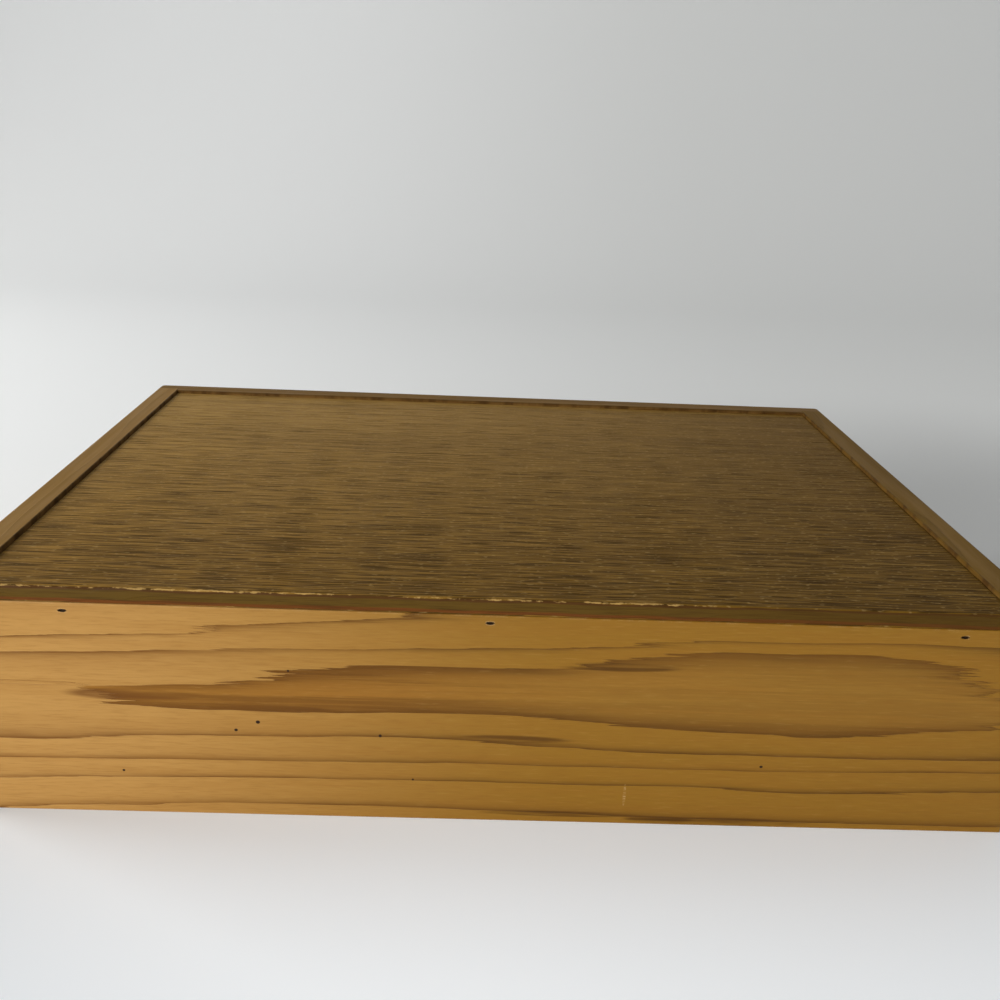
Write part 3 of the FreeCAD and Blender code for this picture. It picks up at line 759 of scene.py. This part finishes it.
def break_arris(lid, low, high):
    """Chips of uneven depth along the front arris."""
    for vertex in lid.data.vertices:
        place = vertex.co
        away = math.hypot(place.y - low.y, high.z - place.z)
        if away > CHIP_REACH:
            continue
        slow = noise.noise(Vector((place.x * 45, 3.7, 0)))
        quick = noise.noise(Vector((place.x * 420, 9.1, 0)))
        chip = max(0.0, slow + 0.15) * 0.9 + max(0.0, quick) * 0.6
        fade = min(1, max(CHIPS_LEFT, 1 - (place.x - CHIPS_FADE_FROM) / CHIPS_FADE_OVER))
        push = min(CHIP_DEEPEST, chip * 0.9 * MM) * fade * (1 - away / CHIP_REACH)
        place.y += push * 0.75
        place.z -= push * 0.75


# Room, light and camera

FLOOR_WIDE = 6.0
FLOOR_FRONT = -2.5
WALL_FOOT = 0.95
WALL_ROUND = 0.9
WALL_HIGH = 3.0
WALL_STEPS = 12
SHADE_PLACE = (0.34, 0.20, 0.0)
SKY_STRENGTH = 0.31


def pale_surface():
    """A white sheet that looks a little lighter to the camera, except where it lies in a painted shadow;
    its colour holds painted light and shade.
    """
    finish, tree, shader, place = start_finish("pale sheet")
    shader.inputs["Roughness"].default_value = 0.9
    shader.inputs["Specular IOR Level"].default_value = 0.1
    split = put(tree, "ShaderNodeSeparateXYZ", {"Vector": place})
    # Painted light and shade in the sheet's colour: darker at the near left, lighter at the near right,
    # darker towards the far right.
    near = ramp(tree, split.outputs["Y"], 0.05, -0.18)
    right = ramp(tree, split.outputs["X"], -0.4, 0.4)
    far_colour_painted_shade = blend_colour(tree, right, tone(229, 230, 229), tone(218, 219, 217))
    near_right = ramp(tree, split.outputs["X"], -0.35, 0.02)
    near_colour_painted_shade = blend_colour(tree, near_right, tone(180, 185, 189), tone(243, 247, 250))
    colour = blend_colour(tree, near, far_colour_painted_shade, near_colour_painted_shade)
    tree.links.new(colour, shader.inputs["Base Color"])
    # Painted shadow: the glow is turned down round SHADE_PLACE, beside the box's right.
    apart = vector_maths(tree, "DISTANCE", place, SHADE_PLACE)
    glow_less_in_painted_shadow = ramp(tree, apart, 0.03, 0.34, 0.02, 0.22)
    rays = tree.nodes.new("ShaderNodeLightPath")
    seen = maths(tree, "MAXIMUM", rays.outputs["Is Camera Ray"], rays.outputs["Is Glossy Ray"])
    seen = maths(tree, "MAXIMUM", seen, rays.outputs["Is Transmission Ray"])
    strength = maths(tree, "MULTIPLY", seen, glow_less_in_painted_shadow)
    glow = put(tree, "ShaderNodeEmission", {"Color": colour, "Strength": strength})
    both = put(tree, "ShaderNodeAddShader", {0: shader.outputs[0], 1: glow.outputs[0]})
    tree.links.new(both.outputs[0], tree.nodes["Material Output"].inputs["Surface"])
    return finish


def build_room():
    """A floor that bends up into a wall at its far end."""
    bpy.ops.object.select_all(action="DESELECT")
    bpy.ops.mesh.primitive_plane_add(size=1, location=(0, (FLOOR_FRONT + WALL_FOOT) / 2, 0))
    sheet = bpy.context.active_object
    sheet.name = "pale_sheet"
    sheet.scale = (FLOOR_WIDE, WALL_FOOT - FLOOR_FRONT, 1)
    apply_place(sheet)
    bpy.ops.object.mode_set(mode="EDIT")

    def at_far_end(edge):
        farthest = max(vertex.co.y for vertex in bmesh.from_edit_mesh(sheet.data).verts)
        return all(vertex.co.y > farthest - TOUCHING for vertex in edge.verts)

    for step in range(WALL_STEPS):
        select_where(sheet, "EDGE", at_far_end)
        start, end = QUARTER * step / WALL_STEPS, QUARTER * (step + 1) / WALL_STEPS
        move = (
            0,
            WALL_ROUND * (math.sin(end) - math.sin(start)),
            WALL_ROUND * (math.cos(start) - math.cos(end)),
        )
        bpy.ops.mesh.extrude_region_move(TRANSFORM_OT_translate={"value": move})
    bpy.ops.mesh.extrude_region_move(TRANSFORM_OT_translate={"value": (0, 0, WALL_HIGH)})
    bpy.ops.object.mode_set(mode="OBJECT")
    bpy.ops.object.shade_smooth()
    sheet.data.materials.append(pale_surface())


def add_lamp(name, place, aim, size, power, colour):
    """A square lamp at a place, turned to its aim."""
    bpy.ops.object.light_add(type="AREA", location=place)
    lamp = bpy.context.active_object
    lamp.name = name
    lamp.rotation_euler = (Vector(aim) - Vector(place)).to_track_quat("-Z", "Y").to_euler()
    lamp.data.shape = "SQUARE"
    lamp.data.size = size
    lamp.data.energy = power
    lamp.data.color = colour


def build_light():
    """Soft daylight from two windows on the left and from the sky."""
    world = bpy.data.worlds.new("soft daylight")
    bpy.context.scene.world = world
    world.use_nodes = True
    background = world.node_tree.nodes["Background"]
    background.inputs["Color"].default_value = (0.985, 0.99, 1.0, 1)
    background.inputs["Strength"].default_value = SKY_STRENGTH
    add_lamp("window", (-0.95, -1.20, 0.42), (-0.02, -0.05, 0.05), 0.8, 18.5, (1.0, 0.995, 0.985))
    add_lamp("side_window", (-1.40, 0.30, 0.70), (0.0, 0.0, 0.05), 0.6, 11.0, (1.0, 1.0, 1.0))


def build_camera():
    """The photograph's own view."""
    camera = bpy.data.cameras.new("photograph_view")
    holder = bpy.data.objects.new("photograph_view", camera)
    bpy.context.scene.collection.objects.link(holder)
    camera.sensor_width = SENSOR
    camera.sensor_fit = "HORIZONTAL"
    camera.lens = SENSOR * FOCAL_PIXELS / PICTURE_PIXELS
    camera.clip_start, camera.clip_end = NEAREST_SEEN, FARTHEST_SEEN
    holder.location = CAMERA_PLACE
    holder.rotation_euler = [math.radians(angle) for angle in CAMERA_TURN]
    bpy.context.scene.camera = holder


def paint(node, finish):
    """Gives a CAD node its finish."""
    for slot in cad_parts[node].material_slots:
        slot.material = finish


build_camera()
paint("front_board", front_softwood())
# Each board's third tone is the painted shade on its top face.
paint("back_board", side_softwood(
    "honey softwood, back board", (0.4, -0.160, -0.02), (0, 0, 0), tone(176, 132, 72),
    tone(112, 70, 22), tone(104, 80, 40), 0.06, ("Y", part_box("back_board")[0][1], 1)))
paint("left_side_board", side_softwood(
    "honey softwood, left board", (0.1, -0.212, -0.052), (0, 0, QUARTER), tone(182, 138, 76),
    tone(114, 72, 22), tone(138, 106, 52), 0.10, ("X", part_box("left_side_board")[1][0], -1)))
paint("right_side_board", side_softwood(
    "honey softwood, right board", (0.9, -0.140, -0.030), (0, 0, QUARTER), tone(176, 132, 70),
    tone(110, 70, 20), tone(100, 78, 32), 0.06,
    ("X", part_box("right_side_board")[0][0], 1), smeared=True))
paint("bottom_panel", bare_plywood())
paint("lid_rest_strip", bare_softwood())
STEEL = brad_steel()
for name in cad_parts:
    if name.endswith("_brads"):
        paint(name, STEEL)

lid = model_lid()
lid.data.materials.append(plywood_lid())
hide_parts("sliding_lid")
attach(lid, "lid")

build_room()
build_light()
bpy.context.scene.view_settings.view_transform = "Standard"
